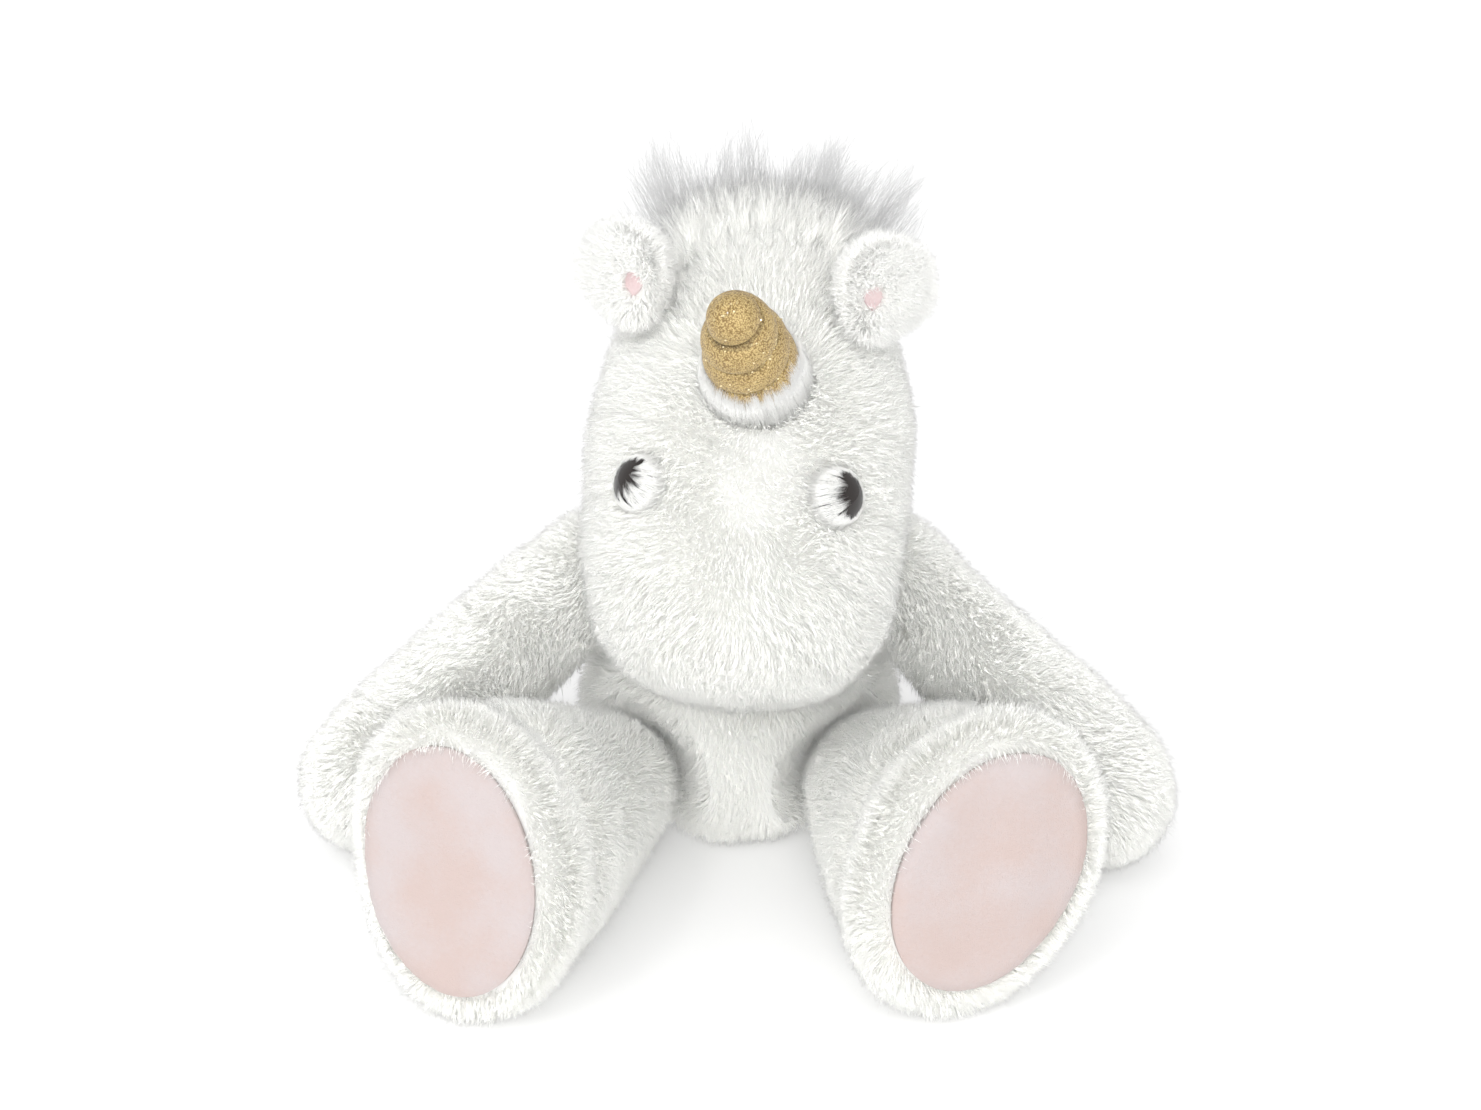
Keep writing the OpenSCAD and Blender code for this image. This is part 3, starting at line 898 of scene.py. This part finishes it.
def horn_glitter(obj, count):
    """Small bright flakes in the knit, more of them along the creases."""
    draw = np.random.default_rng(71)
    roots, normals = scattered(obj, count * 6, draw)
    p, angle, turn = crease_place(roots)
    near = np.exp(-((turn - np.round(turn)) / 0.12) ** 2) + 0.12
    cluster = np.clip(wobble(roots, 5 * MM, 72)[:, 0], 0, 1)
    gather = np.exp(-((angle + 0.9) / 0.9) ** 2) * (p[:, 2] < horn_len * HORN_TURN)
    away = p - HORN_GATHER
    split = away @ HORN_SPLIT
    tip = (abs(split) < 4 * MM) & ((away ** 2).sum(1) - split ** 2 < (1.3 * MM) ** 2)
    picked = draw.uniform(0, 1, len(roots)) < near * (0.05 + 1.6 * cluster * gather) + 0.3 * tip
    roots, normals = roots[picked][:count], normals[picked][:count]
    n = len(roots)
    tilt = unit(normals + draw.normal(size=(n, 3)) * 0.45)
    u = unit(np.cross(tilt, unit(draw.normal(size=(n, 3)))))
    v = np.cross(tilt, u)
    size = draw.uniform(0.16, 0.38, (n, 1)) * MM
    corners = [roots + normals * 0.12 * MM + size * (u * math.cos(t) + v * math.sin(t))
               for t in np.arange(6) * math.pi / 3]
    points = np.stack(corners + [c - tilt * 0.05 * MM for c in corners], 1)
    top = [(0, k, k + 1) for k in range(1, 5)]
    bottom = [(6, 6 + k + 1, 6 + k) for k in range(1, 5)]
    rim = []
    for k in range(6):
        m = (k + 1) % 6
        rim += [(k, 6 + k, 6 + m), (k, 6 + m, m)]
    faces = np.array(top + bottom + rim)
    triangles = faces[None] + (np.arange(n) * 12)[:, None, None]
    mesh = triangles_mesh("horn_glitter", points.reshape(-1, 3), triangles.reshape(-1, 3),
                          np.zeros(n * len(faces)))
    mesh.polygons.foreach_set("use_smooth", np.zeros(len(mesh.polygons), bool))
    declare(new_object("horn_glitter", mesh, GLITTER), "horn")


def horn_collar(count, locks=46):
    """Fur of the head that stands against the horn's foot in small tufts."""
    draw = np.random.default_rng(75)
    p = HORN.local(scattered(head, 620000, draw)[0])
    rho = np.hypot(p[:, 0], p[:, 1])
    way = np.arctan2(p[:, 1], p[:, 0])
    away = rho - horn_surface(way, np.clip(p[:, 2], 0, None))
    chosen = (away > -0.5 * MM) & (away < 3.5 * MM) & (p[:, 2] < 6 * MM) & (p[:, 2] > -12 * MM)
    p, rho, way = p[chosen][:count], rho[chosen][:count], way[chosen][:count]
    n = len(p)
    lock = np.round(way / TURN * locks).astype(int) % locks
    lock_angle = np.arange(locks) * TURN / locks + draw.normal(size=locks) * 0.05
    lock_rise = draw.uniform(0.35, 1.0, locks)
    to_lock = wrapped(lock_angle[lock] - way)
    tip_angle = way + to_lock * draw.uniform(0.1, 0.6, n) + draw.normal(size=n) * 0.05
    top = draw.uniform(2.5, 6, n) * MM + 8 * MM * lock_rise[lock] * draw.uniform(0.4, 1.0, n)
    top = np.maximum(top, p[:, 2] + 3 * MM)
    spine = [np.stack([rho * np.cos(way), rho * np.sin(way), p[:, 2]], 1)]
    for share, out in ((0.55, draw.uniform(0.8, 2.2, n)), (1, draw.uniform(0.3, 1.2, n))):
        turn = way + (tip_angle - way) * share
        z = p[:, 2] + (top - p[:, 2]) * share
        reach = horn_surface(wrapped(turn), np.clip(z, 0, None)) + out * MM
        spine.append(np.stack([reach * np.cos(turn), reach * np.sin(turn), z], 1))
    strands("horn_collar", HORN.world(np.stack(spine, 1)), draw.uniform(0.09, 0.14, n) * MM,
            WISPS, draw, "head")


horn_glitter(horn(), 1300)
horn_thread()
horn_filling()
horn_collar(6000)


# ---- Ears ----

EAR_HEIGHT = 0.88            # of the CAD ear's, as the real one is shorter
RIM_CURL, TIP_CURL = 0.014 / MM, 0.010 / MM
SPOT = 0.34                  # radius of the bare spot of lining, as a share of the lining's


def ear(side):
    """The cupped flap, its lining and its fur, which leaves a small spot of lining bare."""
    axes = EAR[side]
    lining_r = np.ptp(axes.local(points_of(nodes[f"{side}_ear_lining"]))[:, 0]) / 2
    flap = axes.local(middle(f"{side}_ear_lining"))[2]
    inner = np.sign(axes.rows[0] @ (HEAD.origin - axes.origin))
    spot = np.array([inner * 0.4 * lining_r, 0.5 * flap])

    def cupped(points):
        """The rim turns forward, and the tip nods over."""
        p = axes.local(points)
        p[:, 2] *= EAR_HEIGHT
        p[:, 1] -= RIM_CURL * np.clip(abs(p[:, 0]) - 2 * MM, 0, None) ** 2
        p[:, 1] -= TIP_CURL * np.clip(p[:, 2] - flap, 0, None) ** 2
        return axes.world(p)

    obj = skin(f"{side}_ear_skin", f"{side}_ear_cover", lambda points: points[:, 2] < -1,
               f"{side}_ear", f"{side}_ear_cover", voxel=1.8 * MM, out=-1.9 * MM, lumps=0.2 * MM,
               pressure=0.5, cap=0.4 * MM, seed=17 + SIGN[side], shape=cupped)

    def brush(roots, normals):
        """Out from the spot where the lining shows."""
        p = axes.local(roots)
        return unit(axes.turn(np.stack([p[:, 0] - spot[0], 0 * p[:, 0], p[:, 2] - spot[1]], 1)))

    def from_spot(p):
        return np.hypot((p[:, 0] - spot[0]) / 0.8, (p[:, 2] - spot[1]) / 1.1) / lining_r

    def lengths(points):
        """Shorter round the spot where the lining shows."""
        p = axes.local(points)
        return np.where(p[:, 1] < 0, 1 - 0.65 * np.exp(-(from_spot(p) / 0.6) ** 2), 1)

    def off_spot(points):
        p = axes.local(points)
        return (from_spot(p) > SPOT) & (p[:, 2] > -3 * MM) | (p[:, 1] > 0)

    rings, around = 14, 64
    points = [(0, 0, 0)]
    for k in range(1, rings + 1):
        rho = k / rings
        for a in np.arange(around) * TURN / around:
            points.append((rho * math.cos(a), 0, rho * math.sin(a)))
    front = np.array(points) * lining_r + [0, 0, EAR_HEIGHT * flap]
    facing = normals_of(obj) @ axes.rows[1] < -0.3
    q = axes.local(points_of(obj)[facing])
    far = ((front[:, None, [0, 2]] - q[None][:, :, [0, 2]]) ** 2).sum(2)
    weight = np.exp(-(far - far.min(1, keepdims=True)) / (1.2 * MM) ** 2)
    front[:, 1] = (weight * q[:, 1]).sum(1) / weight.sum(1) - 0.7 * MM
    front = axes.world(front)
    back = front + axes.turn([0, 0.8 * MM, 0])
    lining = pad_form(f"{side}_ear_velour", front, back, rings, around, EAR_VELOUR)
    declare(lining, f"{side}_ear", f"{side}_ear_lining")
    for name, base, count, seed in (("ear_fur", obj, 16000, 51),
                                    ("ear_inner_fur", lining, 9000, 54)):
        fur(f"{side}_{name}", base, f"{side}_ear", count, 7.0 * MM, brush, lean=0.55,
            radius=FINE, keep=off_spot, lengths=lengths, frizz=0.4, shades=EAR_FUR,
            seed=seed + SIGN[side])


for side in SIDES:
    ear(side)


# ---- Mane and tail ----

def long_hair(name, roots, ways, lengths, body, draw, seed, bundle=3 * MM, gather=0.6, sag=0.0,
              radius=0.11 * MM, steps=7, shades=HAIR):
    """Long hairs that gather in pointed locks."""
    tips = roots + ways * lengths[:, None]
    tips = tufted(roots, tips, bundle, gather, draw, seed)
    t = np.linspace(0, 1, steps)[None, :, None]
    bow = wobble(roots, 4 * MM, seed + 3) * lengths[:, None] * 0.07
    spines = roots[:, None] * (1 - t) + tips[:, None] * t + bow[:, None] * (4 * t * (1 - t))
    spines[:, :, 2] -= sag * lengths[:, None] * np.linspace(0, 1, steps)[None] ** 2
    radii = radius * draw.uniform(0.7, 1.2, len(roots))
    return strands(name, spines, radii, shades, draw, body)


def mane():
    """A dense undercoat that stands for the CAD mane, and long locks out of it."""
    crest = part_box("mane")[1][2]
    p = HEAD.local(points_of(nodes["mane"]))
    half_w, half_t = abs(p[:, 0]).max(), abs(p[:, 1]).max()
    draw = np.random.default_rng(81)
    roots, _ = scattered(head, 260000, draw)
    q = HEAD.local(roots)
    on_crown = (abs(q[:, 0]) < 0.92 * half_w) & (q[:, 1] > -1.5 * half_t) & (q[:, 1] < 1.1 * half_t)
    on_crown &= q[:, 2] > 30 * MM
    roots, q = roots[on_crown], q[on_crown]
    centre = np.stack([0.25 * q[:, 0], 0.5 * q[:, 1], np.full(len(q), 24 * MM)], 1)
    ways = HEAD.turn(unit(q - centre))
    inside = np.clip((q[:, 1] + 1.5 * half_t) / (0.7 * half_t), 0, 1)
    inside *= np.clip((half_w - abs(q[:, 0])) / (6 * MM), 0, 1)
    order = draw.permutation(len(roots))
    under, tall = order[:12500], order[12500:16800]
    tall = tall[q[tall, 1] > -0.8 * half_t]
    messy = unit(ways[under] + draw.normal(size=(len(under), 3)) * 0.3)
    short = draw.uniform(10, 22, len(under)) * MM * (0.35 + 0.65 * inside[under])
    obj = long_hair("mane_undercoat", roots[under], messy, short, "head", draw, 82, gather=0.2,
                    steps=4, radius=THICK, shades=FUR, bundle=2 * MM)
    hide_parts("mane")
    reach = (crest + 14 * MM - roots[tall][:, 2]) * draw.uniform(0.4, 1.0, len(tall))
    reach *= 0.8 + 0.2 * wobble(roots[tall], 7 * MM, 85)[:, 0]
    fly = draw.uniform(0, 1, len(tall)) < 0.06
    spread = np.where(fly, 0.45, 0.13)[:, None]
    ways_tall = unit(ways[tall] + draw.normal(size=(len(tall), 3)) * spread)
    reach = np.minimum(reach / np.clip(ways_tall[:, 2], 0.6, 1), 44 * MM)
    long_hair("mane_hair", roots[tall], ways_tall, reach, "head", draw, 84, gather=0.9, sag=0.02,
              radius=0.09 * MM, bundle=2.6 * MM)


mane()


def tail():
    """A short core with long hair."""
    obj = skin("tail_skin", "tail", lambda points: TAIL.local(points)[:, 2] < 2 * MM, "tail",
               "tail", voxel=2.5 * MM, out=-5.5 * MM, lumps=0.3 * MM, pressure=0.5, cap=0.5 * MM,
               seed=18)
    draw = np.random.default_rng(91)
    roots, normals = scattered(obj, 5000, draw)
    ways = unit(normals * 0.55 + TAIL.rows[2] + draw.normal(size=(len(roots), 3)) * 0.12)
    lengths = draw.uniform(14, 22, len(roots)) * MM
    long_hair("tail_hair", roots, ways, lengths, "tail", draw, 92, sag=0.06, radius=0.14 * MM,
              shades=WISPS)


tail()


# ---- The torso ----

def torso_seams(points):
    """The seams down the front and back, and the one round the seat."""
    return (abs(points[:, 0]) < SEAM) | (points[:, 2] < 9 * MM)


torso = skin("torso_skin", "torso_stuffing", torso_seams, "torso", "torso_cover",
             form=hollow_form, seed=12)
fur("torso_fur", torso, "torso", 56000, 7.4 * MM, along([0, 0, -1]), seed=22)

neck_skin = remeshed(convex_form("neck_skin", "neck_stuffing"), 3 * MM)
grow(neck_skin, 0.8 * MM)
neck_skin.data.materials.append(BACKING)
declare(neck_skin, "neck")
fur("neck_fur", neck_skin, "neck", 9000, 6.5 * MM, along([0, 0, -1]), lean=0.5, seed=23)


# ---- Arms and legs ----

def limb_seams(axes):
    """The seam along the underside of a limb."""
    def held(points):
        p = axes.local(points)
        return (abs(p[:, 1]) < SEAM) & (p[:, 0] < 0)

    return held


ARM_BOW = 3.8 * MM
WAIST = (-0.10, 28 * MM, 8 * MM)       # change of width, place behind the sole, and reach
FOOT_RIM = (0.045, 11 * MM, 7 * MM)


def arm(side):
    axes = ARM[side]
    length = axes.local(points_of(nodes[f"{side}_arm_cover"]))[:, 2].max()

    def bowed(points):
        """Fuller above the elbow, where the filling bunches up."""
        p = axes.local(points)
        rise = np.sin(np.clip(p[:, 2] / length, 0, 1) * math.pi)
        p[:, 0] += ARM_BOW * rise * (p[:, 0] > 0) * np.clip(p[:, 0] / (15 * MM), 0, 1)
        return axes.world(p)

    obj = skin(f"{side}_arm_skin", f"{side}_arm_stuffing", limb_seams(axes), f"{side}_arm",
               f"{side}_arm_cover", seed=13 + SIGN[side], shape=bowed)
    fur(f"{side}_arm_fur", obj, f"{side}_arm", 50000, 7.6 * MM, along(axes.rows[2]), lean=0.75,
        gather=0.2, seed=31 + SIGN[side])


def sole(side, half):
    """A crowned velour pad, drawn in along the seam at its edge."""
    axes = LEG[side]
    rings, around = 40, 160
    rho = np.sin(np.linspace(0, math.pi / 2, rings + 1))[1:]
    a = np.arange(around) * TURN / around
    x = half[0] * rho[:, None] * np.cos(a)
    y = half[1] * rho[:, None] * np.sin(a)
    edge = np.clip((rho - 0.86) / 0.14, 0, 1)[:, None]
    z = 0.9 * MM * (1 - rho[:, None] ** 2) - 1.6 * MM * edge ** 2 + 0 * x
    flat = np.stack([x, y, z], 2).reshape(-1, 3)
    flat = np.concatenate([[[0, 0, 0.9 * MM]], flat])
    flat[:, 2] += 0.35 * MM * wobble(flat, 16 * MM, 103 + SIGN[side])[:, 0]
    pucker = np.clip((np.hypot(flat[:, 0] / half[0], flat[:, 1] / half[1]) - 0.8) / 0.2, 0, 1)
    turn = np.arctan2(flat[:, 1], flat[:, 0])
    flat[:, 2] -= 0.18 * MM * pucker * np.cos(34 * turn + 2 * wobble(flat, 9 * MM, 7)[:, 0])
    under = flat * [1, 1, 0] - [0, 0, 3.2 * MM]
    obj = pad_form(f"{side}_sole_velour", axes.world(flat), axes.world(under), rings, around,
                   SOLE_VELOUR)
    declare(obj, f"{side}_leg", f"{side}_sole_pad")


def leg(side):
    axes = LEG[side]
    pad = axes.local(points_of(nodes[f"{side}_sole_pad"]))
    half = np.ptp(pad, axis=0)[:2] / 2

    def ankled(points):
        """A slight waist behind the foot, and a fuller rim."""
        p = axes.local(points)
        back = -p[:, 2]
        width = np.ones(len(p))
        for change, place, reach in (WAIST, FOOT_RIM):
            width += change * np.exp(-((back - place) / reach) ** 2)
        p[:, :2] *= width[:, None]
        return axes.world(p)

    obj = skin(f"{side}_leg_skin", f"{side}_leg_stuffing", limb_seams(axes), f"{side}_leg",
               f"{side}_leg_cover", seed=16 + SIGN[side], shape=ankled)

    def off_sole(points):
        p = axes.local(points)
        return ((p[:, 0] / half[0]) ** 2 + (p[:, 1] / half[1]) ** 2 > 1.0) | (p[:, 2] < -12 * MM)

    def brush(roots, normals):
        """Towards the sole, and over the pad's edge round it."""
        p = axes.local(roots)
        on_front = (p[:, 2] > -7 * MM)[:, None]
        inward = axes.turn(np.stack([-p[:, 0] / half[0], -p[:, 1] / half[1], 0 * p[:, 0]], 1))
        near = np.clip(1.5 - 6 * (np.hypot(p[:, 0] / half[0], p[:, 1] / half[1]) - 1), 0, 1.5)
        near *= np.clip(0.3 + p[:, 0] / half[0], 0.1, 1)
        return np.where(on_front, unit(inward) * near[:, None], axes.rows[2])

    fur(f"{side}_leg_fur", obj, f"{side}_leg", 55000, 7.4 * MM, brush, gather=0.22,
        keep=off_sole, seed=41 + SIGN[side])
    sole(side, half)


for side in SIDES:
    arm(side)
    leg(side)


# ---- Camera, lights and floor ----

AIM = Vector((0, -8, 85)) * MM
CAMERA_RISE = math.radians(27)
CAMERA_WAY = Vector((0, math.cos(CAMERA_RISE), -math.sin(CAMERA_RISE)))
LENS, SENSOR = 80.2, 36
KEY_PLACE = Vector((-0.5, -0.9, 0.9))
SUNS = (("front", 1.1, 25, (0, 1, -0.5)), ("above", 1.0, 70, (0.25, 0.7, -1)))
FLOOR_COLOR, FLOOR_GLOW = (0.93, 0.93, 0.93), 0.15


def aimed(name, data, way, place=(0, 0, 0)):
    """Adds a camera or a light that points along way."""
    obj = bpy.data.objects.new(name, data)
    scene.collection.objects.link(obj)
    obj.location = place
    obj.rotation_euler = Vector(way).to_track_quat("-Z", "Y").to_euler()
    return obj


def camera():
    """One metre away, at the photograph's angle."""
    data = bpy.data.cameras.new("camera")
    data.sensor_width = SENSOR
    data.lens = LENS
    scene.camera = aimed("camera", data, CAMERA_WAY, AIM - CAMERA_WAY)


def light(name, kind, energy, way, place=(0, 0, 0)):
    data = bpy.data.lights.new(name, kind)
    data.energy = energy
    aimed(name, data, way, place)
    return data


def studio():
    """Flat white light from the front and above, and a pale floor."""
    world = bpy.data.worlds.new("studio")
    world.use_nodes = True
    world.node_tree.nodes["Background"].inputs["Color"].default_value = (1, 1, 1, 1)
    world.node_tree.nodes["Background"].inputs["Strength"].default_value = 0.7
    scene.world = world
    for name, energy, spread, way in SUNS:
        light(name, "SUN", energy, way).angle = math.radians(spread)
    light("key", "AREA", 1.5, Vector((0, 0, 0.08)) - KEY_PLACE, KEY_PLACE).size = 0.13
    scene.view_settings.view_transform = "Standard"
    scene.view_settings.gamma = 1.25
    scene.cycles.diffuse_bounces = 8
    mesh = bpy.data.meshes.new("floor")
    bm = bmesh.new()
    bmesh.ops.create_circle(bm, cap_ends=True, radius=3, segments=64)
    bm.to_mesh(mesh)
    bm.free()
    floor_mat = material("floor", FLOOR_COLOR, 0.8, Emission_Color=(1, 1, 1, 1),
                         Emission_Strength=FLOOR_GLOW)
    make = Maker(floor_mat)
    make.roughness(make.between(make.noise(40 * MM), 0.7, 0.9))
    new_object("floor", mesh, floor_mat)


camera()
studio()
